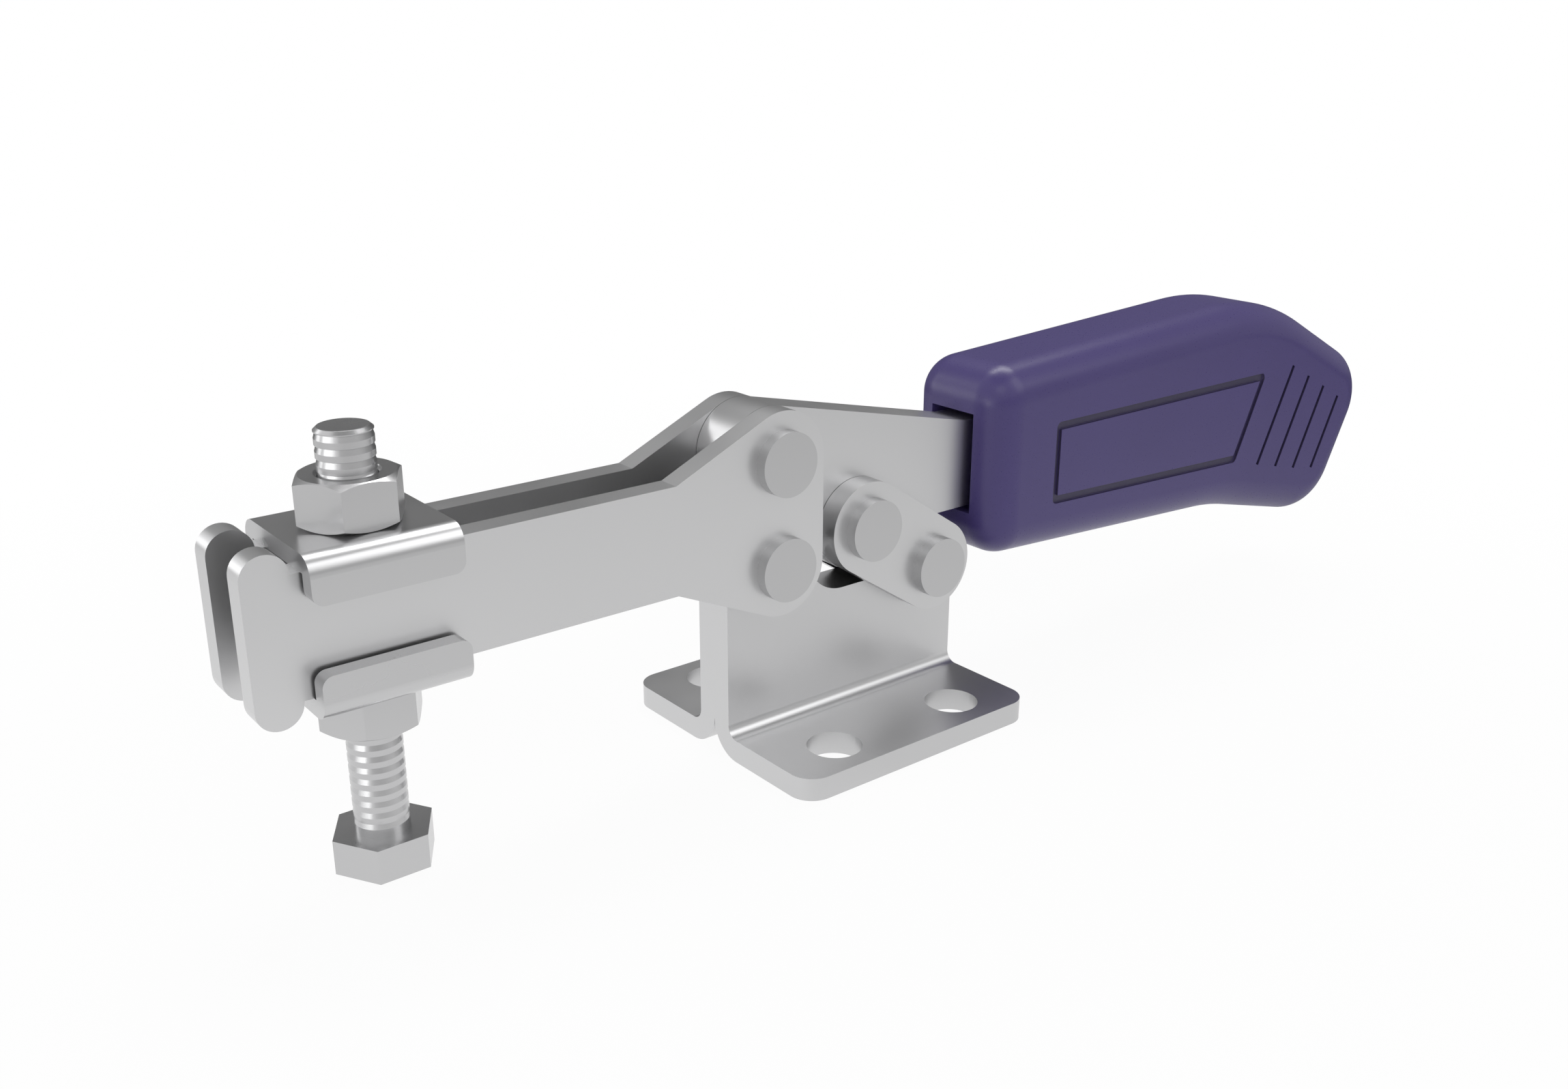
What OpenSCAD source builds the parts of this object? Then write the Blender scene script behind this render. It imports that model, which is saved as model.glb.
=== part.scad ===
// Horizontal toggle clamp with an open clamping arm and a flat flanged base.
// Millimetres, +Z up, origin at the middle of the mounting hole pattern on the underside of the base.
// +X points along the handle, and the clamping arm reaches towards -X.

/* [Sheet metal] */
// Thickness of the pressed plates
sheet_t = 2.95; // [2:0.05:4]
// Running gap between a fixed plate and the moving plate beside it
side_gap = 0.05; // [0.02:0.01:0.1]

/* [Base] */
// Length of the base along X
base_l = 38.3; // [34:0.1:50]
// Width over both flanges
base_w = 37.2; // [34:0.1:50]
// Inside radius of the bend between web and flange
bend_r = 1.55; // [1:0.05:2.2]
// Radius of the outer corners of the flanges
flange_corner_r = 3.2; // [1:0.1:5]
// Diameter of the mounting holes
hole_d = 7; // [4:0.1:8]
// Hole spacing along X
hole_dx = 20.3; // [18:0.1:30]
// Hole spacing along Y
hole_dy = 25.7; // [24:0.1:27]
// Height of the valley floor between the two pivot lugs
valley_z = 18.67; // [14:0.1:18.7]
// Radius of the valley on the arm side
valley_r = 6; // [3:0.1:6]
// Radius of the fillet that runs from the valley floor up to the link lug
valley_link_r = 5.6; // [3:0.1:6]
// Radius of the lug that carries the link, on the side that faces the arm
link_lug_r = 5.3; // [4.8:0.1:5.5]

/* [Linkage] */
// Distance of the arm pivot from the middle of the base along X
arm_pivot_x = -12.88; // [-13:0.01:-12]
// Height of the arm pivot
arm_pivot_z = 25.16; // [25:0.01:26]
// Distance from the arm pivot up to the lever pivot
arm_pitch = 13.3; // [13.2:0.01:14]
// Elbow pivot between lever and link, along X
elbow_x = 1.35; // [1:0.01:1.6]
// Elbow pivot, height
elbow_z = 27.13; // [27:0.01:27.4]
// Link pivot on the base, along X
link_pivot_x = 13.07; // [12.9:0.01:13.5]
// Link pivot on the base, height
link_pivot_z = 19.43; // [19:0.01:19.5]

/* [Pivot hardware] */
// Diameter of the rivet shanks
rivet_d = 5; // [4:0.1:5.4]
// Diameter of the rivet heads
rivet_head_d = 8.03; // [7:0.01:9]
// Height of a rivet head over its plate
rivet_head_h = 1.55; // [1:0.05:2]
// Wall of the hardened bush on each rivet
bush_wall = 1; // [0.8:0.05:1.1]
// Radial running clearance between a bush and the bore that turns on it
run_gap = 0.04; // [0.02:0.01:0.1]
// Radial clearance of parts that are riveted or pressed together
seat_gap = 0.01; // [0.005:0.005:0.03]

/* [Clamping arm] */
// Radius of the arm plates round their two pivots
arm_lug_r = 6.3; // [6:0.1:6.5]
// Where the sloping edges of the arm plates run out, along X
arm_knee_x = -28.3; // [-32:0.1:-26]
// Middle of the upright end stops of the arm plates, along X
arm_end_x = -75.4; // [-90:0.1:-74]
// Width of the upright end stops
arm_end_w = 4.92; // [4:0.02:6]
// Height of the upright end stops
arm_end_h = 18.26; // [16:0.02:22]

/* [Link] */
// Radius of the link plates round their two pivots
link_r = 6.1; // [5.6:0.1:6.2]

/* [Lever] */
// Radius of the lobe of the lever round the elbow pivot
lobe_r = 6.15; // [5.6:0.05:6.2]
// Clear radius cut from the lever round the arm lug of the base
lever_notch_r = 6.9; // [6.6:0.05:6.9]
// Height of the tang that carries the grip
tang_h = 12.1; // [10:0.1:12.4]
// Gap between the closed lever and the stop land on the base
stop_gap = 0.05; // [0.02:0.01:0.2]
// Where the sloping top edge of the lever runs out on the tang, along X
lever_knee_x = 20.7; // [16:0.1:21]
// Length of the tang inside the grip
tang_in_grip = 54; // [40:1:60]
// Corner cut at the end of the tang
tang_end_cut = 2; // [1:0.1:4]

/* [Grip] */
// Front face of the grip, along X
grip_x = 21.2; // [21:0.1:26]
// Width of the grip
grip_w = 17.2; // [15:0.1:20]
// Radius of the rounded edges of the grip
grip_edge_r = 5; // [3:0.1:5.2]
// Height of the front face of the grip
grip_front_h = 26.1; // [22:0.1:32]
// Rise of the top of the grip towards the back, degrees
grip_flare = 3.15; // [0:0.05:5]
// Length of the top of the grip up to its bend
grip_top_l = 61.5; // [56:0.1:80]
// Downward tilt of the tail of the grip, degrees
grip_tail_tilt = 26.8; // [20:0.1:32]
// Length of the sloping top of the tail
grip_tail_l = 34.1; // [30:0.1:45]
// Height of the square end of the tail
grip_end_h = 26.35; // [24:0.05:32]
// Fall of the underside of the tail, degrees
grip_belly_angle = 13.3; // [10:0.1:18]
// Length of the underside of the tail
grip_belly_l = 28.15; // [26:0.05:34]
// Clearance over and under the lever at the mouth of the pocket
mouth_gap = 0.9; // [0.3:0.05:1.2]
// Clearance beside the lever at the mouth of the pocket
mouth_side_gap = 0.7; // [0.3:0.05:1.2]
// Depth of the wide mouth of the pocket
mouth_depth = 9; // [5:0.5:20]
// Depth of the moulded grooves
groove_depth = 0.5; // [0.2:0.05:1]
// Width of the grip lines
line_w = 0.6; // [0.4:0.05:1]
// Spacing of the grip lines
line_pitch = 5.15; // [4:0.05:6]
// Lean of the grip lines, degrees
line_lean = 25.3; // [15:0.1:30]
// Distance of the last grip line from the end of the grip
line_end_gap = 8.3; // [8:0.1:12]
// Distance of the ends of the grip lines from the outline of the tail
line_inset = 7.6; // [6:0.05:8.5]
// Front edge of the frame groove, behind the front face
frame_front = 11.65; // [9:0.05:14]
// Length of the top of the frame groove
frame_top_l = 48.2; // [40:0.1:50]
// Length of the bottom of the frame groove
frame_bottom_l = 42.2; // [36:0.1:44]
// Height of the top of the frame over the middle of the tang
frame_up = 4.9; // [4:0.1:6]
// Drop of the front bottom corner of the frame under the middle of the tang
frame_down_front = 6.8; // [5:0.1:8]
// Drop of the back bottom corner of the frame under the middle of the tang
frame_down_back = 8.5; // [6:0.1:9]
// Width of the frame groove along the top and the bottom
frame_wide = 1; // [0.5:0.05:1.2]
// Width of the frame groove at its front and back
frame_narrow = 0.7; // [0.4:0.05:1]

/* [Clamping bolt] */
// Where the clamping bolt stands, along X
bolt_x = -63.88; // [-64.5:0.01:-50]
// Outside diameter of the bolt
bolt_d = 5.95; // [4.9:0.05:5.95]
// Length of the bolt under its head
bolt_l = 45; // [40:1:60]
// Height of the tip of the bolt at rest
bolt_tip_z = 50.4; // [47:0.1:52]
// Chamfer at the tip of the bolt
bolt_chamfer = 0.42; // [0.2:0.02:0.8]
// Width across the flats of the bolt head and the nuts
hex_af = 10; // [8:0.1:11]
// Height of the bolt head
bolt_head_h = 4.02; // [3:0.02:5]
// Height of a nut
nut_h = 5.2; // [4:0.1:6]
// Angle of the cone that cuts the corners of a nut, degrees
nut_cone_angle = 30; // [20:1:35]
// Radial clearance between the bolt and the nuts
thread_gap = 0.04; // [0.02:0.01:0.1]
// Depth of the countersink in a nut
nut_sink = 0.35; // [0.2:0.05:0.8]

/* [Flanged washers] */
// Length of a flanged washer along X
washer_l = 16.1; // [14:0.1:20]
// Thickness of a flanged washer
washer_t = 2; // [1.5:0.05:3]
// Gap between a washer flange and the arm plate
washer_gap = 0.5; // [0.1:0.05:0.8]
// Height of a flanged washer with its flanges
washer_h = 5; // [4:0.1:7]
// Radius of the free corners of the flanges
washer_corner_r = 1.25; // [0.5:0.05:2.4]
// Diameter of the bolt hole in a washer
washer_hole_d = 6.6; // [6.2:0.1:7]

/* [Hidden] */

$fn = 64;
overlap = 1;

// Pivots as points in the X-Z plane
arm_pivot = [arm_pivot_x, arm_pivot_z];
lever_pivot = [arm_pivot_x, arm_pivot_z + arm_pitch];
elbow = [elbow_x, elbow_z];
link_pivot = [link_pivot_x, link_pivot_z];

// Layers across the clamp, measured from the middle plane
web_y = sheet_t;
plate_y = web_y + side_gap;
head_y = plate_y + sheet_t;
rivet_half = head_y + rivet_head_h;
bush_r = rivet_d / 2 + seat_gap + bush_wall;

// Arm bar and the places that follow from it
bar_z0 = arm_pivot_z;
bar_z1 = arm_pivot_z + arm_pitch;
bar_mid_z = (bar_z0 + bar_z1) / 2;

// Outline of the base
base_x0 = -base_l / 2;
base_x1 = base_l / 2;
arm_lug_base_r = arm_pivot_x - base_x0;
stop_z = link_pivot_z + link_r - 0.28;

// Tang of the lever and the grip on it
tang_z0 = stop_z + stop_gap;
tang_z1 = tang_z0 + tang_h;
tang_mid_z = (tang_z0 + tang_z1) / 2;
tang_end_x = grip_x + tang_in_grip;

washer_top_z = bar_z1 + washer_t;
washer_bottom_z = bar_z0 - washer_t;
washer_inner_y = head_y + washer_gap;
washer_outer_y = washer_inner_y + washer_t;

silver = [0.76, 0.76, 0.77];
steel = [0.7, 0.7, 0.71];
purple = [0.31, 0.28, 0.46];

function unit(v) = v / norm(v);
function heading(a) = [cos(a), sin(a)];
function left_of(d) = [-d[1], d[0]];

// Point where the lines p + s*d and q + t*e meet
function crossing(p, d, q, e) =
    let (k = d[0] * e[1] - d[1] * e[0], w = q - p)
    p + d * (w[0] * e[1] - w[1] * e[0]) / k;

// Offset from the circle round c to the point p along the line that touches the circle,
// on the side that turn = 1 or -1 picks
function tangent_run(p, c, r, turn) =
    let (v = p - c, a = acos(r / norm(v)), base = atan2(v[1], v[0]))
    v - r * heading(base + turn * a);

// Plate in the X-Z plane, from y0 towards +Y
module plate(y0, t) {
    translate([0, y0 + t, 0])
        rotate([90, 0, 0])
            linear_extrude(height = t)
                children();
}

// Straight bar between two points of an outline, r wide on each side
module strip(p, q, r) {
    n = left_of(unit(q - p)) * r;
    polygon([p + n, p - n, q - n, q + n]);
}

// Bar with round ends between two points of an outline
module strap(p, q, r) {
    translate(p) circle(r = r);
    translate(q) circle(r = r);
    strip(p, q, r);
}

module hole_at(p, r) {
    translate(p) circle(r = r);
}

// Quarter of material that a fillet of radius r leaves in a corner, opening along sx and sy
module fillet_corner(p, r, sx, sy) {
    translate(p) scale_corner(sx, sy) difference() {
        translate([-overlap, -overlap]) square(r + overlap);
        translate([r, r]) circle(r = r);
    }
}

module scale_corner(sx, sy) {
    mirror([sx < 0 ? 1 : 0, 0]) mirror([0, sy < 0 ? 1 : 0]) children();
}

// Outline of the upright webs of the base: two lugs with a valley between them
module web_outline() {
    lug_right = arm_pivot_x + arm_lug_base_r;
    // The fillet circle touches the valley floor and the link lug
    fillet_z = valley_z + valley_link_r;
    reach = link_lug_r + valley_link_r;
    fillet_x = link_pivot_x - sqrt(reach * reach - pow(link_pivot_z - fillet_z, 2));
    fillet_c = [fillet_x, fillet_z];
    touch = link_pivot + unit(fillet_c - link_pivot) * link_lug_r;
    difference() {
        union() {
            translate([base_x0, 0]) square([base_l, valley_z]);
            translate([base_x0, 0]) square([2 * arm_lug_base_r, arm_pivot_z]);
            translate(arm_pivot) circle(r = arm_lug_base_r);
            fillet_corner([lug_right, valley_z], valley_r, 1, 1);
            translate(link_pivot) circle(r = link_lug_r);
            intersection() {
                translate(link_pivot) circle(r = base_x1 - link_pivot_x);
                translate(link_pivot) square([base_l, link_r]);
            }
            translate([link_pivot_x, 0]) square([base_x1 - link_pivot_x, link_pivot_z]);
            difference() {
                polygon([[fillet_x, valley_z], [fillet_x, valley_z - overlap],
                         [link_pivot_x, valley_z - overlap], link_pivot, touch]);
                translate(fillet_c) circle(r = valley_link_r);
            }
        }
        translate([link_pivot_x - link_r, stop_z]) square([2 * link_r, link_r]);
    }
}

// Section of one bracket across Y: flange, bend and web, with the web against y = 0
module bracket_section(top) {
    outer_r = bend_r + sheet_t;
    translate([0, outer_r]) square([sheet_t, top - outer_r]);
    translate([outer_r, 0]) square([base_w / 2 - outer_r, sheet_t]);
    difference() {
        square([outer_r, outer_r]);
        translate([outer_r, outer_r]) circle(r = bend_r);
        difference() {
            translate([-overlap, -overlap]) square(outer_r + overlap);
            translate([outer_r, outer_r]) circle(r = outer_r);
        }
    }
}

// Plan of a flange with rounded outer corners
module flange_plan() {
    translate([base_x0 + flange_corner_r, -overlap])
        square([base_l - 2 * flange_corner_r, base_w / 2 + overlap]);
    translate([base_x0, -overlap])
        square([base_l, base_w / 2 - flange_corner_r + overlap]);
    for (x = [base_x0 + flange_corner_r, base_x1 - flange_corner_r])
        translate([x, base_w / 2 - flange_corner_r]) circle(r = flange_corner_r);
}

module base_bracket() {
    top = arm_pivot_z + arm_lug_base_r + overlap;
    difference() {
        intersection() {
            translate([base_x0, 0, 0]) rotate([90, 0, 90])
                linear_extrude(height = base_l) bracket_section(top);
            union() {
                plate(-overlap, sheet_t + overlap + bend_r) web_outline();
                linear_extrude(height = sheet_t + bend_r) flange_plan();
            }
        }
        for (x = [-hole_dx / 2, hole_dx / 2])
            translate([x, hole_dy / 2, -overlap]) cylinder(d = hole_d, h = sheet_t + 2 * overlap);
        for (p = [arm_pivot, link_pivot])
            plate(-overlap, sheet_t + 2 * overlap) hole_at(p, bush_r + run_gap);
    }
}

module base_bracket_far() {
    color(silver) base_bracket();
}

module base_bracket_near() {
    color(silver) mirror([0, 1, 0]) base_bracket();
}

// Outline of an arm plate: round both pivots, sloping down to the bar, with an upright end stop
module arm_outline() {
    run_top = tangent_run([arm_knee_x, bar_z1], lever_pivot, arm_lug_r, -1);
    run_bottom = tangent_run([arm_knee_x, bar_z0], arm_pivot, arm_lug_r, 1);
    difference() {
        union() {
            strap(arm_pivot, lever_pivot, arm_lug_r);
            strip(lever_pivot + run_top, lever_pivot, arm_lug_r);
            strip(arm_pivot + run_bottom, arm_pivot, arm_lug_r);
            translate([arm_end_x, bar_z0]) square([arm_pivot_x - arm_end_x, arm_pitch]);
            strap([arm_end_x, bar_mid_z - arm_end_h / 2 + arm_end_w / 2],
                  [arm_end_x, bar_mid_z + arm_end_h / 2 - arm_end_w / 2], arm_end_w / 2);
        }
        for (p = [arm_pivot, lever_pivot])
            hole_at(p, rivet_d / 2 + seat_gap);
    }
}

module arm_plate_near() {
    color(silver) plate(-head_y, sheet_t) arm_outline();
}

module arm_plate_far() {
    color(silver) plate(plate_y, sheet_t) arm_outline();
}

// Outline of a link plate
module link_outline() {
    difference() {
        strap(elbow, link_pivot, link_r);
        for (p = [elbow, link_pivot])
            hole_at(p, rivet_d / 2 + seat_gap);
    }
}

module link_near() {
    color(silver) plate(-head_y, sheet_t) link_outline();
}

module link_far() {
    color(silver) plate(plate_y, sheet_t) link_outline();
}

// Outline of the lever: a round end on the arm, a lobe at the elbow and the tang for the grip
module lever_outline() {
    knee = [lever_knee_x, tang_z1];
    // The top edge starts just inside the round end
    touch = knee - tangent_run(knee, lever_pivot, arm_lug_r - 0.02, 1);
    difference() {
        union() {
            translate(lever_pivot) circle(r = arm_lug_r);
            translate(elbow) circle(r = lobe_r);
            strip(lever_pivot, elbow, 0.95 * lobe_r);
            polygon([touch, lever_pivot, [elbow_x, tang_z0],
                     [tang_end_x - tang_end_cut, tang_z0], [tang_end_x, tang_z0 + tang_end_cut],
                     [tang_end_x, tang_z1 - tang_end_cut], [tang_end_x - tang_end_cut, tang_z1],
                     knee]);
        }
        hole_at(arm_pivot, lever_notch_r);
        hole_at(lever_pivot, bush_r + run_gap);
        hole_at(elbow, bush_r + run_gap);
    }
}

module lever() {
    color(steel) plate(-web_y, 2 * sheet_t) lever_outline();
}

// Rivet along Y through the whole joint, with a flat head on each side
module rivet(p) {
    translate([p[0], 0, p[1]]) rotate([90, 0, 0]) {
        translate([0, 0, -head_y]) cylinder(d = rivet_d, h = 2 * head_y);
        for (side = [-1, 1])
            translate([0, 0, side > 0 ? head_y : -rivet_half]) cylinder(d = rivet_head_d, h = rivet_head_h);
    }
}

// Bush clamped between the two outer plates of a joint
module bush(p) {
    translate([p[0], plate_y, p[1]]) rotate([90, 0, 0]) difference() {
        cylinder(r = bush_r, h = 2 * plate_y);
        translate([0, 0, -overlap]) cylinder(r = rivet_d / 2 + seat_gap, h = 2 * (plate_y + overlap));
    }
}

module arm_rivet() {
    color(steel) rivet(arm_pivot);
}

module lever_rivet() {
    color(steel) rivet(lever_pivot);
}

// The elbow rivet is two headed studs, one in each link plate, so the elbow is free of the lever
module elbow_rivet() {
    color(steel) translate([elbow_x, 0, elbow_z]) rotate([90, 0, 0])
        for (side = [-1, 1]) {
            translate([0, 0, side > 0 ? plate_y : -head_y]) cylinder(d = rivet_d, h = sheet_t);
            translate([0, 0, side > 0 ? head_y : -rivet_half]) cylinder(d = rivet_head_d, h = rivet_head_h);
        }
}

module link_rivet() {
    color(steel) rivet(link_pivot);
}

module arm_bush() {
    color(steel) bush(arm_pivot);
}

module lever_bush() {
    color(steel) bush(lever_pivot);
}

// The elbow bush stays in the bore of the lever
module elbow_bush() {
    color(steel) translate([elbow_x, web_y, elbow_z]) rotate([90, 0, 0]) difference() {
        cylinder(r = bush_r + run_gap - seat_gap, h = 2 * web_y);
        translate([0, 0, -overlap]) cylinder(r = rivet_d / 2 + seat_gap, h = 2 * (web_y + overlap));
    }
}

module link_bush() {
    color(steel) bush(link_pivot);
}

// Flanged washer over the top edges of the arm plates, as a U that opens downwards
module flanged_washer() {
    inner_r = 0.1;
    outer_r = inner_r + washer_t;
    x0 = bolt_x - washer_l / 2;
    difference() {
        translate([x0, 0, 0]) rotate([90, 0, 90]) linear_extrude(height = washer_l) difference() {
            union() {
                translate([-washer_outer_y + outer_r, -washer_h])
                    square([2 * (washer_outer_y - outer_r), washer_h]);
                translate([-washer_outer_y, -washer_h])
                    square([2 * washer_outer_y, washer_h - outer_r]);
                for (side = [-1, 1])
                    translate([side * (washer_outer_y - outer_r), -outer_r]) circle(r = outer_r);
            }
            translate([-washer_inner_y + inner_r, -washer_h - overlap])
                square([2 * (washer_inner_y - inner_r), washer_h + overlap - washer_t]);
            translate([-washer_inner_y, -washer_h - overlap])
                square([2 * washer_inner_y, washer_h + overlap - washer_t - inner_r]);
            for (side = [-1, 1])
                translate([side * (washer_inner_y - inner_r), -washer_t - inner_r]) circle(r = inner_r);
        }
        translate([bolt_x, 0, -washer_t - overlap]) cylinder(d = washer_hole_d, h = washer_t + 2 * overlap);
        for (end = [-1, 1])
            translate([bolt_x + end * (washer_l / 2 - washer_corner_r), -washer_outer_y - overlap,
                       -washer_h + washer_corner_r])
                rotate([-90, 0, 0]) linear_extrude(height = 2 * (washer_outer_y + overlap)) difference() {
                    translate([end > 0 ? 0 : -washer_corner_r - overlap, 0])
                        square([washer_corner_r + overlap, washer_corner_r + overlap]);
                    circle(r = washer_corner_r);
                }
    }
}

module washer_top() {
    color(silver) translate([0, 0, washer_top_z]) flanged_washer();
}

module washer_bottom() {
    color(silver) translate([0, 0, washer_bottom_z]) mirror([0, 0, 1]) flanged_washer();
}

// Hexagon prism with two corners on the X axis
module hex_prism(af, h) {
    cylinder(d = af / cos(30), h = h, $fn = 6);
}

module clamp_bolt() {
    head_top = bolt_tip_z - bolt_l;
    color(silver) translate([bolt_x, 0, 0]) {
        translate([0, 0, head_top - bolt_head_h]) hex_prism(hex_af, bolt_head_h);
        rotate_extrude() polygon([[0, head_top - bolt_head_h / 2], [bolt_d / 2, head_top - bolt_head_h / 2],
                                  [bolt_d / 2, bolt_tip_z - bolt_chamfer],
                                  [bolt_d / 2 - bolt_chamfer, bolt_tip_z], [0, bolt_tip_z]]);
    }
}

// Nut with its corners cut by a cone at both ends and a small countersink in each face
module nut() {
    corner_r = hex_af / 2 / cos(30);
    face_r = hex_af / 2 * 0.97;
    cut = (corner_r - face_r) * tan(nut_cone_angle);
    bore_r = bolt_d / 2 + thread_gap;
    difference() {
        intersection() {
            hex_prism(hex_af, nut_h);
            rotate_extrude() polygon([[0, 0], [face_r, 0], [corner_r, cut], [corner_r, nut_h - cut],
                                      [face_r, nut_h], [0, nut_h]]);
        }
        translate([0, 0, -overlap]) cylinder(r = bore_r, h = nut_h + 2 * overlap);
        rotate_extrude() polygon([[0, -overlap], [bore_r + nut_sink, -overlap], [bore_r + nut_sink, 0],
                                  [bore_r, nut_sink], [0, nut_sink]]);
        translate([0, 0, nut_h]) mirror([0, 0, 1]) rotate_extrude()
            polygon([[0, -overlap], [bore_r + nut_sink, -overlap], [bore_r + nut_sink, 0],
                     [bore_r, nut_sink], [0, nut_sink]]);
    }
}

module nut_top() {
    color(silver) translate([bolt_x, 0, washer_top_z]) nut();
}

module nut_bottom() {
    color(silver) translate([bolt_x, 0, washer_bottom_z - nut_h]) nut();
}

// Corners of the side view of the grip, clockwise from the front top corner
grip_mid_z = tang_mid_z - 0.07;
grip_front_top = [grip_x, grip_mid_z + grip_front_h / 2];
grip_bend = grip_front_top + grip_top_l * heading(grip_flare);
grip_end_top = grip_bend + grip_tail_l * heading(-grip_tail_tilt);
grip_end_bottom = grip_end_top + grip_end_h * heading(-90 - grip_tail_tilt);
grip_belly = grip_end_bottom + grip_belly_l * heading(180 - grip_belly_angle);
grip_front_bottom = [grip_x, grip_mid_z - grip_front_h / 2];

// Each corner with its radius and the number of steps of its arc
GRIP_CORNERS = [[grip_front_top, 5.4, 9], [grip_bend, 42, 9], [grip_end_top, 8.8, 10],
                [grip_end_bottom, 9.5, 10], [grip_belly, 52, 7], [grip_front_bottom, 5.4, 9]];

// Points of the rounded side view, each as [point, outward normal]
function rounded_corner(before, corner, after, r, steps) =
    let (d0 = unit(corner - before), d1 = unit(after - corner),
         turn = atan2(d0[0] * d1[1] - d0[1] * d1[0], d0 * d1),
         side = turn < 0 ? 1 : -1,
         n0 = left_of(d0), centre = corner - d0 * r * tan(abs(turn) / 2) - side * n0 * r,
         a0 = atan2(n0[1], n0[0]))
    [for (i = [0:steps]) let (n = heading(a0 + turn * i / steps)) [centre + side * r * n, n]];

function grip_arcs() =
    let (count = len(GRIP_CORNERS))
    [for (i = [0:count - 1])
        let (c = GRIP_CORNERS[i])
        rounded_corner(GRIP_CORNERS[(i + count - 1) % count][0], c[0],
                       GRIP_CORNERS[(i + 1) % count][0], c[1], c[2])];

// Solid whose side view is the rounded outline and whose long edges are rounded to grip_edge_r
module grip_body() {
    side = [for (arc = grip_arcs()) each arc];
    n = len(side);
    steps = 7;
    flat = grip_w / 2 - grip_edge_r;
    rings = [for (i = [0:2 * steps + 1])
        let (half = i <= steps ? -1 : 1, a = half < 0 ? 90 - 90 * i / steps : 90 * (i - steps - 1) / steps)
        [half * (flat + grip_edge_r * sin(a)), grip_edge_r * (1 - cos(a))]];
    points = [for (ring = rings, s = side)
        let (p = s[0] - s[1] * ring[1]) [p[0], ring[0], p[1]]];
    walls = [for (k = [0:len(rings) - 2], i = [0:n - 1])
        let (j = (i + 1) % n)
        [k * n + i, k * n + j, (k + 1) * n + j, (k + 1) * n + i]];
    first = [for (i = [n - 1:-1:0]) i];
    last = [for (i = [0:n - 1]) (len(rings) - 1) * n + i];
    polyhedron(points = points, faces = concat(walls, [first, last]), convexity = 4);
}

// Frame groove: a quadrilateral ring
module frame_ring() {
    x0 = grip_x + frame_front;
    top = tang_mid_z + frame_up;
    a = [x0, top];
    b = [x0 + frame_top_l, top];
    c = [x0 + frame_bottom_l, tang_mid_z - frame_down_back];
    d = [x0, tang_mid_z - frame_down_front];
    back = unit(c - b);
    under = unit(d - c);
    a_in = a + [frame_narrow, -frame_wide];
    b_in = crossing(a_in, [1, 0], b + [back[1], -back[0]] * frame_narrow, back);
    c_in = crossing(b_in, back, c + [under[1], -under[0]] * frame_wide, under);
    d_in = crossing(c_in, under, a_in, [0, 1]);
    difference() {
        polygon([a, b, c, d]);
        polygon([a_in, b_in, c_in, d_in]);
    }
}

// The four straight grip lines, each ending at the same distance from the outline of the tail
module grip_lines() {
    arcs = grip_arcs();
    tail = [for (i = [4:-1:1]) each [for (k = [len(arcs[i]) - 1:-1:0]) arcs[i][k][0] - arcs[i][k][1] * line_inset]];
    down = heading(-90 - line_lean);
    across = heading(-line_lean);
    middle = (grip_end_top + grip_end_bottom) / 2;
    intersection() {
        polygon(tail);
        for (i = [0:3]) {
            at = middle - across * (line_end_gap + i * line_pitch);
            strip(at - down * grip_end_h, at + down * grip_end_h, line_w / 2);
        }
    }
}

module grip() {
    seat = seat_gap;
    color(purple) difference() {
        grip_body();
        translate([grip_x - overlap, -web_y - mouth_side_gap, tang_z0 - mouth_gap])
            cube([mouth_depth + overlap, 2 * (web_y + mouth_side_gap), tang_h + 2 * mouth_gap]);
        translate([grip_x, -web_y - seat, tang_z0 - seat])
            cube([tang_in_grip + seat, 2 * (web_y + seat), tang_h + 2 * seat]);
        for (side = [-1, 1])
            plate(side * grip_w / 2 - groove_depth, 2 * groove_depth) grip_lines();
        plate(-grip_w / 2 - groove_depth, 2 * groove_depth) frame_ring();
    }
}

base_bracket_near();
base_bracket_far();
arm_plate_near();
arm_plate_far();
lever();
grip();
link_near();
link_far();
arm_rivet();
lever_rivet();
elbow_rivet();
link_rivet();
arm_bush();
lever_bush();
elbow_bush();
link_bush();
washer_top();
washer_bottom();
clamp_bolt();
nut_top();
nut_bottom();
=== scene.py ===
"""Looks of the toggle clamp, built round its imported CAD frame. Metres, in the frame of the CAD model."""

import math

import bmesh
import bpy
from mathutils import Matrix, Vector


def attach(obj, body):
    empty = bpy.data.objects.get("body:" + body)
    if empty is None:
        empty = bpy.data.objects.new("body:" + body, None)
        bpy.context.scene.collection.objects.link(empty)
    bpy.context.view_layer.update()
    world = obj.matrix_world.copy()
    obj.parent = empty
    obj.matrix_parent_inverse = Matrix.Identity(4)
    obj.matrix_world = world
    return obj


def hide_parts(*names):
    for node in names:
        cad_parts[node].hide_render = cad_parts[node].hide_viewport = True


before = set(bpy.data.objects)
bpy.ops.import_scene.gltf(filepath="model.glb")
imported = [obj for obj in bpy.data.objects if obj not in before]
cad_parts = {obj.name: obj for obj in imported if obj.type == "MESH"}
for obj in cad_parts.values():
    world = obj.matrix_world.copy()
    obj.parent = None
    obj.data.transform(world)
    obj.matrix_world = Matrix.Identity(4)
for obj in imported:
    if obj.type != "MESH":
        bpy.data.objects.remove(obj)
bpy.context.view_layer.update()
MM = 0.001
WHITE = (1, 1, 1, 1)

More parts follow.
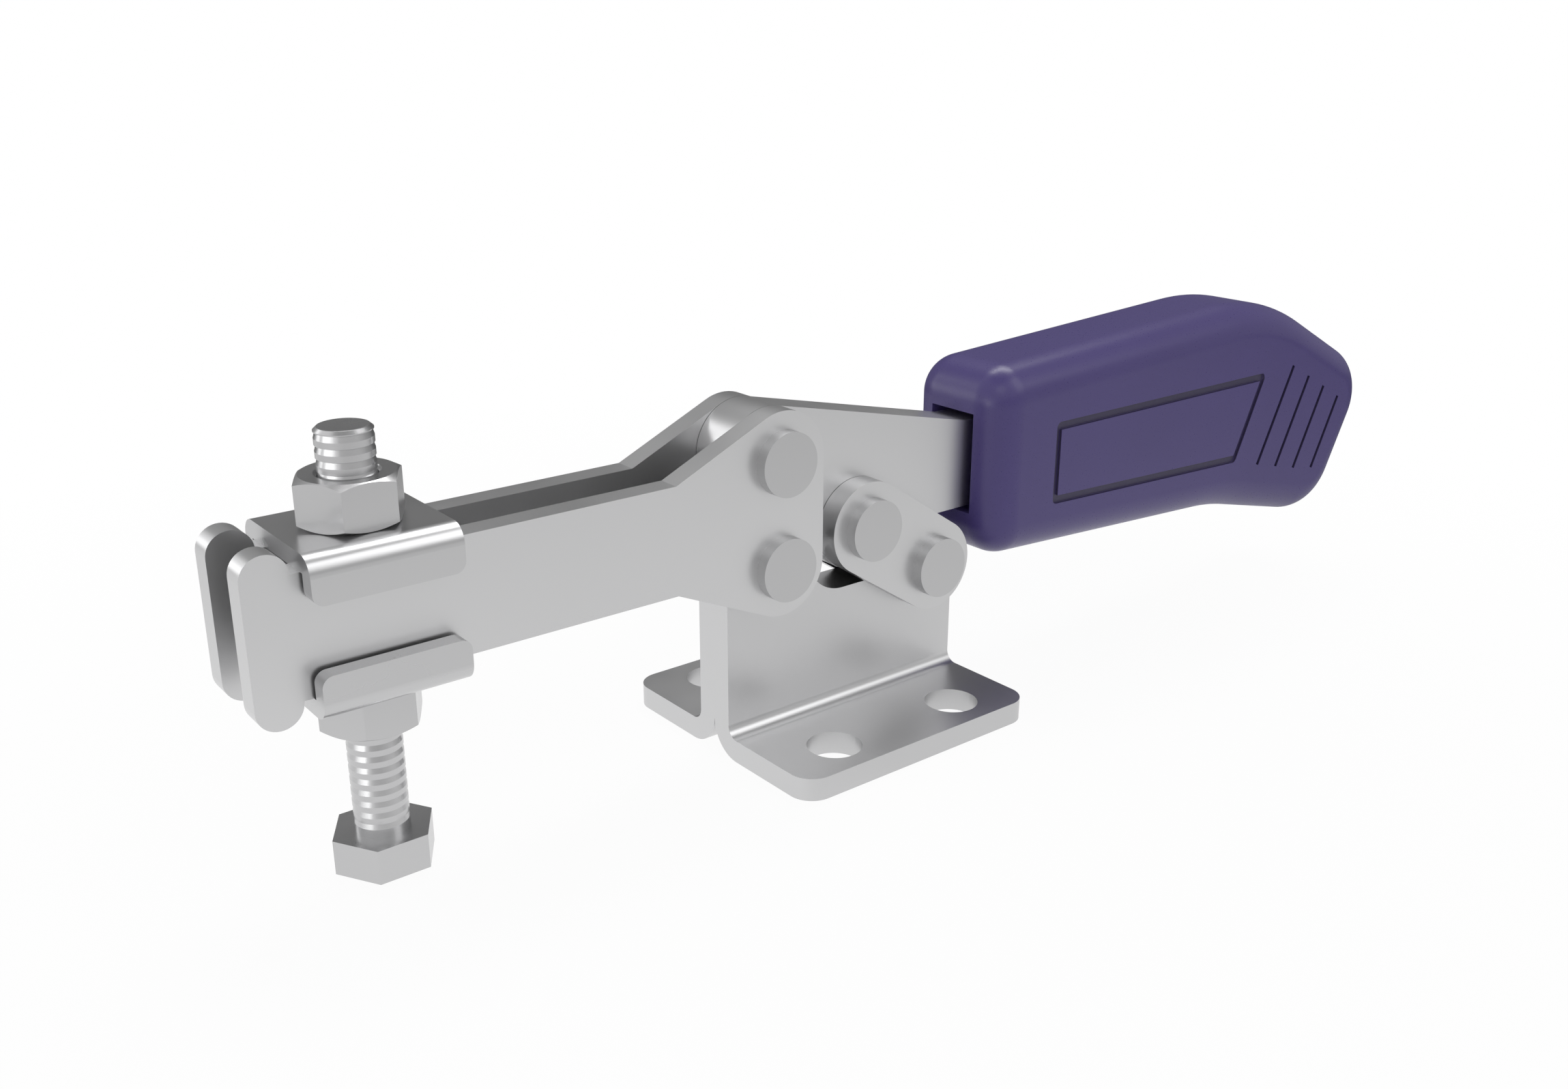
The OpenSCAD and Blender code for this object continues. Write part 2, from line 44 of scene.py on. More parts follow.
# Camera: where the photograph was taken from. Radians, pixels of the photograph, mm for the sensor
YAW, PITCH, ROLL = 0.67648094, -0.34493776, 0.0025094
PLACE = Vector((-119.2171, -138.5901, 89.1843)) * MM
FOCAL_PIXELS = 2187.3434
IMAGE_WIDTH = 2298
SENSOR_WIDTH = 36
NEAREST_SEEN, FURTHEST_SEEN = 0.005, 60


def make_camera():
    fwd = Vector((math.sin(YAW) * math.cos(PITCH), math.cos(YAW) * math.cos(PITCH), math.sin(PITCH)))
    right = Vector((math.cos(YAW), -math.sin(YAW), 0.0))
    up = right.cross(fwd)
    c, s = math.cos(ROLL), math.sin(ROLL)
    right, up = c * right + s * up, c * up - s * right
    data = bpy.data.cameras.new("camera")
    data.sensor_width = SENSOR_WIDTH
    data.lens = FOCAL_PIXELS / IMAGE_WIDTH * SENSOR_WIDTH
    data.clip_start = NEAREST_SEEN
    data.clip_end = FURTHEST_SEEN
    camera = bpy.data.objects.new("camera", data)
    m = Matrix((right, up, -fwd)).transposed().to_4x4()
    m.translation = PLACE
    camera.matrix_world = m
    bpy.context.scene.collection.objects.link(camera)
    bpy.context.scene.camera = camera


# Node materials
NOISE_RANGE = (0.3, 0.7)


class Nodes:
    """A small helper that adds shader nodes to one material or world and links them."""

    def __init__(self, owner, output="ShaderNodeOutputMaterial"):
        self.owner = owner
        owner.use_nodes = True
        self.tree = owner.node_tree
        self.tree.nodes.clear()
        self.output = self.add(output)

    def add(self, kind, values=None, **settings):
        node = self.tree.nodes.new(kind)
        for key, value in settings.items():
            setattr(node, key, value)
        for key, value in (values or {}).items():
            node.inputs[key].default_value = value
        return node

    def link(self, source, target):
        self.tree.links.new(source, target)

    def surface(self, source):
        self.link(source, self.output.inputs["Surface"])

    def place(self):
        """Object coordinates."""
        return self.add("ShaderNodeTexCoord").outputs["Object"]

    def noise(self, scale, detail, roughness=0.5):
        node = self.add("ShaderNodeTexNoise", {"Scale": scale, "Detail": detail, "Roughness": roughness})
        self.link(self.place(), node.inputs["Vector"])
        return node.outputs["Fac"]

    def ramp(self, source, low, high):
        """Colour from low to high over the usual range of a noise."""
        node = self.add("ShaderNodeValToRGB")
        for i, (position, colour) in enumerate(zip(NOISE_RANGE, (low, high))):
            node.color_ramp.elements[i].position = position
            node.color_ramp.elements[i].color = (*colour, 1)
        self.link(source, node.inputs["Fac"])
        return node.outputs["Color"]

    def span(self, source, result, over=NOISE_RANGE):
        """Value that goes from result[0] to result[1] while the source goes over its range."""
        node = self.add("ShaderNodeMapRange", {"From Min": over[0], "From Max": over[1],
                                               "To Min": result[0], "To Max": result[1]})
        self.link(source, node.inputs["Value"])
        return node.outputs["Result"]

    def bump(self, source, strength, distance):
        node = self.add("ShaderNodeBump", {"Strength": strength, "Distance": distance})
        self.link(source, node.inputs["Height"])
        return node.outputs["Normal"]

    def combine(self, operation, first, second):
        node = self.add("ShaderNodeMath", operation=operation)
        self.link(first, node.inputs[0])
        self.link(second, node.inputs[1])
        return node.outputs[0]

    def along(self, place, way):
        """How far a place lies along a direction."""
        node = self.add("ShaderNodeVectorMath", {1: way}, operation="DOT_PRODUCT")
        self.link(place, node.inputs[0])
        return node.outputs["Value"]

    def blend(self, share, first, second):
        """Two shaders mixed, with the share of the second one."""
        node = self.add("ShaderNodeMixShader")
        for i, source in enumerate((share, first, second)):
            self.link(source, node.inputs[i])
        return node.outputs[0]


def metal(name, grey, rough, spread=0.03):
    """Bright-plated steel: a soft satin with a fine even grain and faint cloudiness."""
    n = Nodes(bpy.data.materials.new(name))
    cloud = n.noise(scale=60, detail=4)
    grain = n.noise(scale=5200, detail=2)
    dimmed = 0.975
    shader = n.add("ShaderNodeBsdfPrincipled", {"Metallic": 1.0, "Specular IOR Level": 0.5})
    n.link(n.ramp(cloud, [g * dimmed for g in grey], grey), shader.inputs["Base Color"])
    n.link(n.span(cloud, (rough - spread, rough + spread)), shader.inputs["Roughness"])
    n.link(n.bump(grain, strength=0.12, distance=2e-6), shader.inputs["Normal"])
    n.surface(shader.outputs["BSDF"])
    return n.owner


def moulded_plastic(name, colour, rough, spread=0.06):
    """Matt moulded plastic with a fine spark-eroded texture and faint cloudiness."""
    n = Nodes(bpy.data.materials.new(name))
    cloud = n.noise(scale=45, detail=4)
    grit = n.noise(scale=3600, detail=3, roughness=0.6)
    dimmed = 0.94
    shader = n.add("ShaderNodeBsdfPrincipled", {"Metallic": 0.0, "IOR": 1.46})
    n.link(n.ramp(cloud, [c * dimmed for c in colour], colour), shader.inputs["Base Color"])
    n.link(n.span(grit, (rough - spread, rough + spread)), shader.inputs["Roughness"])
    n.link(n.bump(grit, strength=0.22, distance=1.0e-5), shader.inputs["Normal"])
    n.surface(shader.outputs["BSDF"])
    return n.owner


plate_metal = metal("plated_plate", (0.62, 0.62, 0.625), 0.34)
base_metal = metal("plated_base", (0.59, 0.59, 0.595), 0.35)
link_metal = metal("plated_link", (0.60, 0.60, 0.605), 0.34)
lever_metal = metal("plated_lever", (0.61, 0.61, 0.615), 0.34)
washer_metal = metal("plated_washer", (0.55, 0.55, 0.555), 0.28, 0.02)
rivet_metal = metal("rivet_steel", (0.52, 0.52, 0.525), 0.36)
bush_metal = metal("bush_steel", (0.40, 0.40, 0.41), 0.28)
bolt_metal = metal("plated_fastener", (0.53, 0.53, 0.535), 0.26, 0.02)
grip_plastic = moulded_plastic("grip_plastic", (0.076, 0.056, 0.207), 0.32)
# The groove faces take a darker plastic: painted shade for the shade inside the grooves, not a colour of
# their own
groove_painted_shade_plastic = moulded_plastic("grip_groove_painted_shade", (0.050, 0.041, 0.095), 0.45)

CAD_FINISH = {
    base_metal: ["base_bracket_near", "base_bracket_far"],
    plate_metal: ["arm_plate_near", "arm_plate_far"],
    link_metal: ["link_near", "link_far"],
    lever_metal: ["lever"],
    washer_metal: ["washer_top", "washer_bottom"],
    rivet_metal: ["arm_rivet", "lever_rivet", "elbow_rivet", "link_rivet"],
    bush_metal: ["arm_bush", "lever_bush", "elbow_bush", "link_bush"],
    bolt_metal: ["nut_top", "nut_bottom", "clamp_bolt"],
    grip_plastic: ["grip"],
}
for finish, names in CAD_FINISH.items():
    for name in names:
        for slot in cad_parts[name].material_slots:
            slot.material = finish


# Mesh helpers
def heading(degrees):
    a = math.radians(degrees)
    return Vector((math.cos(a), math.sin(a)))


def left_of(d):
    return Vector((-d.y, d.x))


def crossing(p, d, q, e):
    """Point where the lines p + s*d and q + t*e meet."""
    k = d.x * e.y - d.y * e.x
    w = q - p
    return p + d * ((w.x * e.y - w.y * e.x) / k)


def object_from(bm, name, material):
    """Makes an object of one material from a bmesh, which is freed."""
    mesh = bpy.data.meshes.new(name)
    bm.to_mesh(mesh)
    bm.free()
    obj = bpy.data.objects.new(name, mesh)
    bpy.context.scene.collection.objects.link(obj)
    mesh.materials.append(material)
    return obj


def bridge(bm, a, b):
    """Adds the band of faces between two closed rings of vertices."""
    for i in range(len(a)):
        j = (i + 1) % len(a)
        bm.faces.new((a[i], a[j], b[j], b[i]))


def prism(bm, points, y0, y1):
    """Adds a closed prism whose side view is points, as (x, z) in mm, from y0 to y1."""
    near = [bm.verts.new((p[0] * MM, y0 * MM, p[1] * MM)) for p in points]
    far = [bm.verts.new((p[0] * MM, y1 * MM, p[1] * MM)) for p in points]
    n = len(points)
    bm.faces.new(near)
    bm.faces.new(far[::-1])
    for i in range(n):
        j = (i + 1) % n
        bm.faces.new((near[j], near[i], far[i], far[j]))


def bar(bm, p, q, half, y0, y1):
    """Adds a straight bar between two points of the side view."""
    n = left_of((q - p).normalized()) * half
    prism(bm, [p + n, p - n, q - n, q + n], y0, y1)


def ring_prism(bm, outer, inner, y0, y1):
    """Adds a closed ring between two outlines with the same number of points."""
    rows = []
    for points, y in ((outer, y0), (inner, y0), (inner, y1), (outer, y1)):
        rows.append([bm.verts.new((p.x * MM, y * MM, p.y * MM)) for p in points])
    for a, b in zip(rows, rows[1:] + rows[:1]):
        bridge(bm, a, b)


def rounded_corner(before, corner, after, r, steps):
    """Points of one rounded corner with their outward normals."""
    d0 = (corner - before).normalized()
    d1 = (after - corner).normalized()
    turn = math.degrees(math.atan2(d0.x * d1.y - d0.y * d1.x, d0.dot(d1)))
    side = 1 if turn < 0 else -1
    n0 = left_of(d0)
    centre = corner - d0 * r * math.tan(math.radians(abs(turn)) / 2) - side * n0 * r
    a0 = math.degrees(math.atan2(n0.y, n0.x))
    out = []
    for i in range(steps + 1):
        n = heading(a0 + turn * i / steps)
        out.append((centre + side * r * n, n))
    return out


def rounded_corners(corners):
    """The arcs of a closed outline, from its corners as (point, radius, steps)."""
    count = len(corners)
    return [rounded_corner(corners[i - 1][0], corner, corners[(i + 1) % count][0], r, steps)
            for i, (corner, r, steps) in enumerate(corners)]


def round_outline(points, r, steps=5):
    """A polygon with its corners rounded to r."""
    return [p for arc in rounded_corners([(c, r, steps) for c in points]) for p, n in arc]


def clip_line(p, d, outline):
    """The stretch of the line p + t*d that lies inside a closed outline."""
    hits = []
    for i, a in enumerate(outline):
        b = outline[(i + 1) % len(outline)]
        e = b - a
        k = d.x * e.y - d.y * e.x
        if abs(k) < 1e-9:
            continue
        w = a - p
        t = (w.x * e.y - w.y * e.x) / k
        s = (w.x * d.y - w.y * d.x) / k
        if 0 <= s < 1:
            hits.append(t)
    return p + d * min(hits), p + d * max(hits)


def cut(obj, cutters):
    """Subtracts closed solids from obj and keeps the result as its mesh.

    Each cutter comes with the material that the faces it cuts take.
    """
    for i, (bm, finish) in enumerate(cutters):
        tool = object_from(bm, f"cutter_{i}", finish)
        mod = obj.modifiers.new(f"cut_{i}", "BOOLEAN")
        mod.operation = "DIFFERENCE"
        mod.solver = "EXACT"
        mod.material_mode = "TRANSFER"
        mod.object = tool
    graph = bpy.context.evaluated_depsgraph_get()
    mesh = bpy.data.meshes.new_from_object(obj.evaluated_get(graph))
    tools = [m.object for m in obj.modifiers]
    obj.modifiers.clear()
    old = obj.data
    obj.data = mesh
    bpy.data.meshes.remove(old)
    for tool in tools:
        bpy.data.objects.remove(tool)


def smooth_shading(obj, angle):
    """Smooth shading, with the edges kept sharp that turn by more than angle degrees."""
    mesh = obj.data
    mesh.shade_smooth()
    mesh.set_sharp_from_angle(angle=math.radians(angle))
    mod = obj.modifiers.new("weighted", "WEIGHTED_NORMAL")
    mod.keep_sharp = True


# Grip: sizes in mm. These are the same as in the CAD source
GRIP_X, GRIP_W, EDGE_R = 21.2, 17.2, 5.0
WEB_Y, SEAT_GAP = 2.95, 0.01
TANG_Z0, TANG_Z1, TANG_L = 25.30, 37.40, 54
TANG_MID = (TANG_Z0 + TANG_Z1) / 2
MID = TANG_MID - 0.07
FRONT_H, FLARE, TOP_L, TAIL_TILT, TAIL_L, END_H = 26.1, 3.15, 61.5, 26.8, 34.1, 26.35
BELLY_ANGLE, BELLY_L = 13.3, 28.15
MOUTH_DEPTH, MOUTH_GAP = 9, 0.9
FRAME_FRONT, FRAME_TOP_L, FRAME_BOTTOM_L = 11.65, 48.2, 42.2
FRAME_UP, FRAME_DOWN_FRONT, FRAME_DOWN_BACK = 4.9, 6.8, 8.5
LINES, LINE_LEAN, LINE_END_GAP, LINE_PITCH, LINE_INSET = 4, 25.3, 8.3, 5.15, 7.6
# These differ from the CAD source by up to 0.25 mm and were set against the photograph
MOUTH_SIDE_GAP, GROOVE_DEPTH, FRAME_WIDE, FRAME_NARROW, LINE_HALF_W = 0.95, 0.42, 1.15, 0.95, 0.34
# The CAD source has sharp corners and rims in these places, and fewer steps round the long edges
FRAME_OUTER_R, FRAME_INNER_R = 0.8, 0.08
RIM_BEVEL, RIM_ANGLE = 0.09, 50
EDGE_STEPS = 18
# How far the cutters stand out of the grip, and where the one for the tang starts inside the mouth
GROOVE_OVER, MOUTH_OVER, TANG_START = 0.5, 2, 5
# Vertices closer than this, in metres, become one
WELD = 1e-7

front_top = Vector((GRIP_X, MID + FRONT_H / 2))
grip_bend = front_top + heading(FLARE) * TOP_L
end_top = grip_bend + heading(-TAIL_TILT) * TAIL_L
end_bottom = end_top + heading(-90 - TAIL_TILT) * END_H
belly = end_bottom + heading(180 - BELLY_ANGLE) * BELLY_L
front_bottom = Vector((GRIP_X, MID - FRONT_H / 2))
CORNERS = [(front_top, 5.4, 24), (grip_bend, 42, 16), (end_top, 8.8, 22),
           (end_bottom, 9.5, 22), (belly, 52, 14), (front_bottom, 5.4, 24)]


def grip_shell():
    """The grip as a closed loft: rings of the side view, drawn in along its rounded long edges."""
    outline = [point for arc in rounded_corners(CORNERS) for point in arc]
    flat = GRIP_W / 2 - EDGE_R
    quarter = [math.radians(90 * i / EDGE_STEPS) for i in range(EDGE_STEPS + 1)]
    bm = bmesh.new()
    rows = []
    for side, angles in ((-1, quarter[::-1]), (1, quarter)):
        for a in angles:
            y = side * (flat + EDGE_R * math.sin(a))
            inset = EDGE_R * (1 - math.cos(a))
            row = []
            for p, n in outline:
                q = p - n * inset
                row.append(bm.verts.new((q.x * MM, y * MM, q.y * MM)))
            rows.append(row)
    for a, b in zip(rows, rows[1:]):
        bridge(bm, a, b)
    bm.faces.new(rows[0][::-1])
    bm.faces.new(rows[-1])
    bmesh.ops.recalc_face_normals(bm, faces=bm.faces)
    return bm


def tang_block(x0, x1, gap, side_gap):
    """Solid from x0 to x1 that stands out over, under and beside the tang."""
    bm = bmesh.new()
    z0, z1 = TANG_Z0 - gap, TANG_Z1 + gap
    corners = [Vector((x0, z0)), Vector((x1, z0)), Vector((x1, z1)), Vector((x0, z1))]
    prism(bm, corners, -WEB_Y - side_gap, WEB_Y + side_gap)
    bmesh.ops.recalc_face_normals(bm, faces=bm.faces)
    return bm


def groove_cutters():
    """Solids that cut the frame groove and the grip lines."""
    near = (-GRIP_W / 2 - GROOVE_OVER, -GRIP_W / 2 + GROOVE_DEPTH)
    far = (GRIP_W / 2 - GROOVE_DEPTH, GRIP_W / 2 + GROOVE_OVER)
    bm = bmesh.new()
    # Frame groove on the near side
    x0 = GRIP_X + FRAME_FRONT
    top = TANG_MID + FRAME_UP
    a = Vector((x0, top))
    b = Vector((x0 + FRAME_TOP_L, top))
    c = Vector((x0 + FRAME_BOTTOM_L, TANG_MID - FRAME_DOWN_BACK))
    d = Vector((x0, TANG_MID - FRAME_DOWN_FRONT))
    back = (c - b).normalized()
    under = (d - c).normalized()
    a_in = a + Vector((FRAME_NARROW, -FRAME_WIDE))
    b_in = crossing(a_in, Vector((1, 0)), b - left_of(back) * FRAME_NARROW, back)
    c_in = crossing(b_in, back, c - left_of(under) * FRAME_WIDE, under)
    d_in = crossing(c_in, under, a_in, Vector((0, 1)))
    outer = round_outline([a, b, c, d], FRAME_OUTER_R)
    inner = round_outline([a_in, b_in, c_in, d_in], FRAME_INNER_R)
    ring_prism(bm, outer, inner, *near)
    # Grip lines on both sides
    tail = [p - n * LINE_INSET for arc in rounded_corners(CORNERS)[1:5] for p, n in arc]
    down = heading(-90 - LINE_LEAN)
    across = heading(-LINE_LEAN)
    middle = (end_top + end_bottom) / 2
    for i in range(LINES):
        at = middle - across * (LINE_END_GAP + LINE_PITCH * i)
        p, q = clip_line(at, down, tail)
        for y0, y1 in (near, far):
            bar(bm, p, q, LINE_HALF_W, y0, y1)
    bmesh.ops.recalc_face_normals(bm, faces=bm.faces)
    return bm


def make_grip():
    """The moulded grip with its pocket and grooves, and a small bevel on every sharp rim."""
    obj = object_from(grip_shell(), "grip_moulded", grip_plastic)
    cut(obj, [
        (tang_block(GRIP_X - MOUTH_OVER, GRIP_X + MOUTH_DEPTH, MOUTH_GAP, MOUTH_SIDE_GAP), grip_plastic),
        (tang_block(GRIP_X + TANG_START, GRIP_X + TANG_L + SEAT_GAP, SEAT_GAP, SEAT_GAP), grip_plastic),
        # The groove cutter gives the faces it cuts the darker plastic, which is painted shade
        (groove_cutters(), groove_painted_shade_plastic),
    ])
    bm = bmesh.new()
    bm.from_mesh(obj.data)
    bmesh.ops.remove_doubles(bm, verts=bm.verts, dist=WELD)
    rims = [e for e in bm.edges
            if len(e.link_faces) == 2 and e.calc_face_angle(0) > math.radians(RIM_ANGLE)]
    bmesh.ops.bevel(bm, geom=rims, offset=RIM_BEVEL * MM, offset_type="OFFSET", segments=2, profile=0.5,
                    affect="EDGES", clamp_overlap=True)
    bm.to_mesh(obj.data)
    bm.free()
    smooth_shading(obj, angle=32)
    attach(obj, "lever")
    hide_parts("grip")


# Bolt: sizes in mm, the same as in the CAD source but for the thread and the chamfer at the tip
BOLT_X, BOLT_R, TIP_Z, HEAD_TOP, HEAD_H, AF = -63.88, 2.975, 50.4, 5.4, 4.02, 10.0
THREAD_TOP, THREAD_PITCH, THREAD_DEPTH, THREAD_END_GAP = 49.94, 1.34, 0.17, 0.1
# Points of the chamfer: how far in from the outside and how far under the tip
TIP_CHAMFER = [(0.42, 0), (0.36, 0.02), (0, 0.35)]
# Points of one groove of the thread: share of its depth and how far under its upper edge
THREAD_GROOVE = [(0, 0), (0.6, 0.02), (1, 0.07), (0, THREAD_PITCH / 2)]
TURNED_STEPS = 96


def ring(bm, r, z, steps):
    """Adds a level ring of vertices round the bolt's axis and returns it."""
    row = []
    for i in range(steps):
        a = 2 * math.pi * i / steps
        row.append(bm.verts.new(((BOLT_X + r * math.cos(a)) * MM, r * math.sin(a) * MM, z * MM)))
    return row


def lathe(bm, profile):
    """Adds a closed turned surface round the bolt's axis, from (radius, height) points.

    The first and the last point lie on the axis.
    """
    top = bm.verts.new((BOLT_X * MM, 0, profile[0][1] * MM))
    rows = [ring(bm, r, z, TURNED_STEPS) for r, z in profile[1:-1]]
    bottom = bm.verts.new((BOLT_X * MM, 0, profile[-1][1] * MM))
    first, last = rows[0], rows[-1]
    for i in range(TURNED_STEPS):
        bm.faces.new((top, first[(i + 1) % TURNED_STEPS], first[i]))
    for a, b in zip(rows, rows[1:]):
        bridge(bm, a, b)
    for i in range(TURNED_STEPS):
        bm.faces.new((last[i], last[(i + 1) % TURNED_STEPS], bottom))


def shank_profile():
    """Side view of the shank from the tip down: crests with shallow grooves between them."""
    points = [(0, TIP_Z)]
    points += [(BOLT_R - inward, TIP_Z - drop) for inward, drop in TIP_CHAMFER]
    z = THREAD_TOP
    while z - THREAD_PITCH / 2 > HEAD_TOP + THREAD_END_GAP:
        points += [(BOLT_R - share * THREAD_DEPTH, z - drop) for share, drop in THREAD_GROOVE]
        z -= THREAD_PITCH
    bottom = HEAD_TOP - HEAD_H / 2
    return points + [(BOLT_R, bottom), (0, bottom)]


def make_bolt():
    """The clamping bolt: its threaded shank starts in the middle of the hexagon head."""
    bm = bmesh.new()
    lathe(bm, shank_profile())
    corner = AF / 2 / math.cos(math.radians(30))
    low, high = [ring(bm, corner, z, 6) for z in (HEAD_TOP - HEAD_H, HEAD_TOP)]
    bm.faces.new(low[::-1])
    bm.faces.new(high)
    bridge(bm, low, high)
    bmesh.ops.recalc_face_normals(bm, faces=bm.faces)
    obj = object_from(bm, "clamp_bolt_threaded", bolt_metal)
    smooth_shading(obj, angle=9)
    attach(obj, "bolt")
    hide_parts("clamp_bolt")


# Studio: pale floor, grey flats and a grey disc out of the camera's sight, soft lamps. Metres and degrees
WALL_R = 0.75
# Azimuth, grey low down, grey at the top, elevation of the top
WALL_TONES = [(56, 0.52, 0.60, 58), (86, 0.40, 0.40, 58), (100, 0.28, 0.36, 58), (113, 0.17, 0.36, 58),
              (127, 0.12, 0.38, 58), (136, 0.14, 0.40, 54), (146, 0.13, 0.40, 50), (158, 0.14, 0.40, 50),
              (170, 0.22, 0.40, 52), (184, 0.30, 0.42, 56), (203, 0.40, 0.46, 56)]
SCREEN_TONES = [(-50, 0.52, 0.52, 21), (-14, 0.44, 0.44, 21), (28, 0.55, 0.55, 21), (56, 0.58, 0.58, 26)]
# Steps from one tone to the next, steps from bottom to top, height over the floor
FLAT_ACROSS, FLAT_UP, FLAT_LIFT = 6, 12, 0.002
CEILING_TONE, CEILING_R, CEILING_Z = 0.38, 0.62, 1.30
FLOOR_TONE, FLOOR_R = 0.86, 12
# The camera sees the floor turn to plain white: its share, and the distances from the middle
CAMERA_WHITE, CAMERA_REACH = (0.95, 1.0), (0.06, 0.18)
# The metal mirrors three tones of the floor, multiplied: along two directions and with the distance
LEFT_WAY, LEFT_TONE, LEFT_REACH = (-0.6, 0.8, 0), (0.90, 1.0), (-0.015, 0.005)
FAR_TONE, FAR_REACH = (1.0, 0.85), (0.10, 0.16)
HANDLE_WAY, HANDLE_TONE, HANDLE_REACH = (0.7, 0.7, 0), (1.0, 0.16), (0.04, 0.14)
WORLD_LIGHT, WORLD_SEEN = 0.37, 1.0
LAMP_AIM = Vector((0, 0, 0.03))
# Name, azimuth, elevation, distance, width and height, power
LAMPS = [("top", 118, 60, 1.10, (0.46, 0.40), 3.2),
         ("crest", 163, 66, 1.10, (0.30, 0.24), 1.5),
         ("key", 37, 44, 1.05, (0.50, 0.66), 1.4),
         ("front", -38, 46, 1.05, (0.45, 0.35), 0.5),
         ("left", -86, 6, 1.05, (0.80, 0.24), 1.4),
         ("side", -140, 10, 1.05, (0.55, 0.30), 0.8),
         ("back", -148, 29, 1.00, (0.28, 0.22), 0.25)]


def make_floor():
    """Pale floor: it keeps the object's shadow close by and fades to plain white further out."""
    n = Nodes(bpy.data.materials.new("floor"))
    place = n.place()
    path = n.add("ShaderNodeLightPath")
    length = n.add("ShaderNodeVectorMath", operation="LENGTH")
    n.link(place, length.inputs[0])
    distance = length.outputs["Value"]
    pale = n.add("ShaderNodeBsdfDiffuse", {"Color": (FLOOR_TONE, FLOOR_TONE, FLOOR_TONE, 1)})
    white = n.add("ShaderNodeEmission", {"Color": WHITE, "Strength": 1.0})
    whitened = n.span(distance, CAMERA_WHITE, CAMERA_REACH)
    share = n.combine("MULTIPLY", path.outputs["Is Camera Ray"], whitened)
    seen = n.blend(share, pale.outputs[0], white.outputs[0])
    # What the metal mirrors: pale in front, paler at the left behind, grey behind the handle
    left = n.span(n.along(place, LEFT_WAY), LEFT_TONE, LEFT_REACH)
    far = n.span(distance, FAR_TONE, FAR_REACH)
    handle = n.span(n.along(place, HANDLE_WAY), HANDLE_TONE, HANDLE_REACH)
    mirror = n.add("ShaderNodeEmission")
    n.link(n.combine("MULTIPLY", n.combine("MULTIPLY", left, far), handle), mirror.inputs["Strength"])
    mirrored = n.combine("MAXIMUM", path.outputs["Is Glossy Ray"], path.outputs["Is Transmission Ray"])
    n.surface(n.blend(mirrored, seen, mirror.outputs[0]))
    bm = bmesh.new()
    bmesh.ops.create_circle(bm, cap_ends=True, segments=96, radius=FLOOR_R)
    floor = object_from(bm, "floor", n.owner)


def grey_flat(name, tones, lowest, rise_from):
    """Upright grey flat round the object, out of the camera's sight, which the metal mirrors.

    It starts at the elevation lowest, and its tone changes from rise_from up to its top.
    """
    n = Nodes(bpy.data.materials.new(name))
    tone = n.add("ShaderNodeVertexColor", layer_name="tone")
    grey = n.add("ShaderNodeEmission")
    n.link(tone.outputs["Color"], grey.inputs["Color"])
    n.surface(grey.outputs[0])
    bm = bmesh.new()
    layer = bm.verts.layers.float_color.new("tone")
    grid = []
    for (a0, *from_values), (a1, *to_values) in zip(tones, tones[1:]):
        closing = a1 == tones[-1][0]
        for i in range(FLAT_ACROSS + closing):
            t = i / FLAT_ACROSS
            azimuth = math.radians(a0 + (a1 - a0) * t)
            low, high, top = [u + (v - u) * t for u, v in zip(from_values, to_values)]
            column = []
            for k in range(FLAT_UP + 1):
                elevation = lowest + (top - lowest) * k / FLAT_UP
                z = FLAT_LIFT + WALL_R * math.tan(math.radians(elevation))
                vert = bm.verts.new((WALL_R * math.sin(azimuth), -WALL_R * math.cos(azimuth), z))
                rise = min(max((elevation - rise_from) / (top - rise_from), 0), 1)
                level = low + (high - low) * rise
                vert[layer] = (level, level, level, 1)
                column.append(vert)
            grid.append(column)
    for left, right in zip(grid, grid[1:]):
        for k in range(FLAT_UP):
            bm.faces.new((left[k], right[k], right[k + 1], left[k + 1]))
    wall = object_from(bm, name, n.owner)
    wall.visible_camera = False


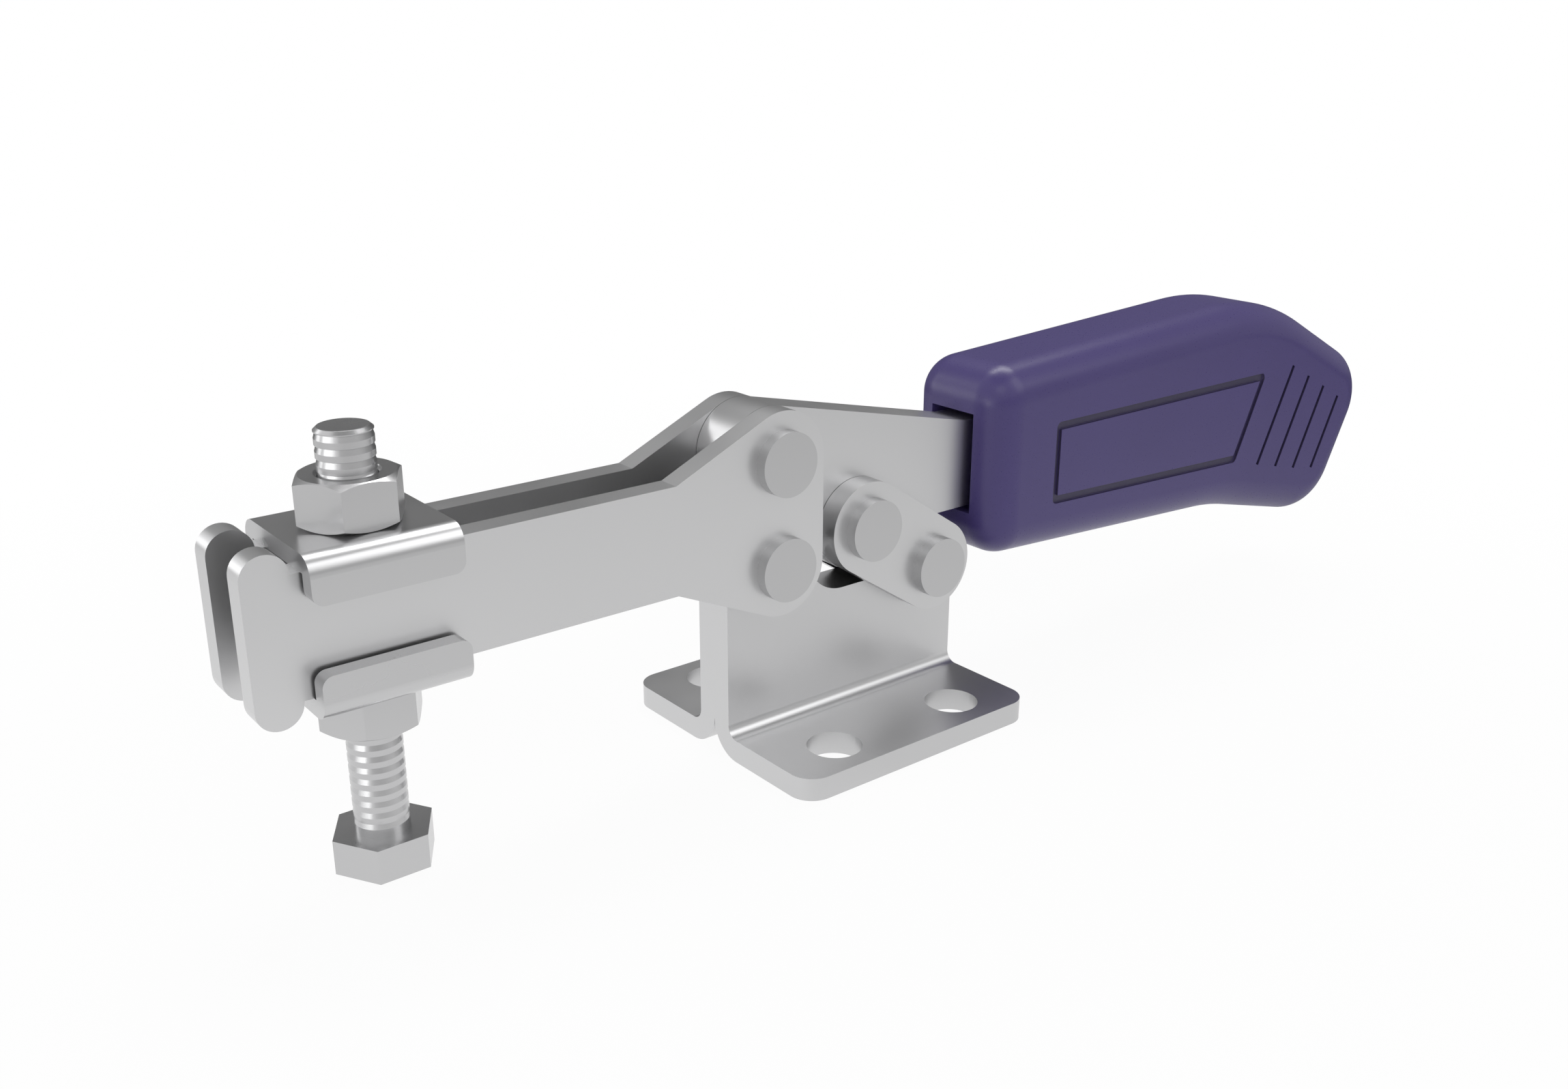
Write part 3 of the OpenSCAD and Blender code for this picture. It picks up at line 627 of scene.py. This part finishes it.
def grey_ceiling():
    """Grey disc overhead, out of the camera's sight.

    Flat tops mirror it when they are seen from above.
    """
    n = Nodes(bpy.data.materials.new("studio_ceiling"))
    grey = n.add("ShaderNodeEmission", {"Color": (CEILING_TONE, CEILING_TONE, CEILING_TONE, 1)})
    n.surface(grey.outputs[0])
    bm = bmesh.new()
    bmesh.ops.create_circle(bm, cap_ends=True, segments=64, radius=CEILING_R)
    bmesh.ops.translate(bm, vec=(0, 0, CEILING_Z), verts=bm.verts)
    ceiling = object_from(bm, "studio_ceiling", n.owner)
    ceiling.visible_camera = False


def make_world():
    """Even light all round, which the camera and the mirroring surfaces see as plain white."""
    world = bpy.data.worlds.new("studio")
    bpy.context.scene.world = world
    n = Nodes(world, "ShaderNodeOutputWorld")
    light = n.add("ShaderNodeBackground", {"Color": WHITE, "Strength": WORLD_LIGHT})
    white = n.add("ShaderNodeBackground", {"Color": WHITE, "Strength": WORLD_SEEN})
    path = n.add("ShaderNodeLightPath")
    seen = n.combine("MAXIMUM", path.outputs["Is Camera Ray"], path.outputs["Is Glossy Ray"])
    seen = n.combine("MAXIMUM", seen, path.outputs["Is Transmission Ray"])
    n.surface(n.blend(seen, light.outputs[0], white.outputs[0]))


def lamp(name, azimuth, elevation, distance, size, power):
    """Soft lamp aimed at the object; azimuth 0 is the near side and 90 the handle's end."""
    data = bpy.data.lights.new(name, "AREA")
    data.shape = "RECTANGLE"
    data.size, data.size_y = size
    data.energy = power
    az, el = math.radians(azimuth), math.radians(elevation)
    way = Vector((math.sin(az) * math.cos(el), -math.cos(az) * math.cos(el), math.sin(el)))
    obj = bpy.data.objects.new(name, data)
    obj.location = LAMP_AIM + way * distance
    obj.rotation_euler = (-way).to_track_quat("-Z", "Y").to_euler()
    obj.visible_camera = False
    bpy.context.scene.collection.objects.link(obj)


make_camera()
make_grip()
make_bolt()
make_floor()
grey_flat("studio_wall", WALL_TONES, lowest=0, rise_from=23)
grey_flat("studio_screen", SCREEN_TONES, lowest=4, rise_from=0)
grey_ceiling()
make_world()
for row in LAMPS:
    lamp(*row)

scene = bpy.context.scene
scene.view_settings.view_transform = "Standard"
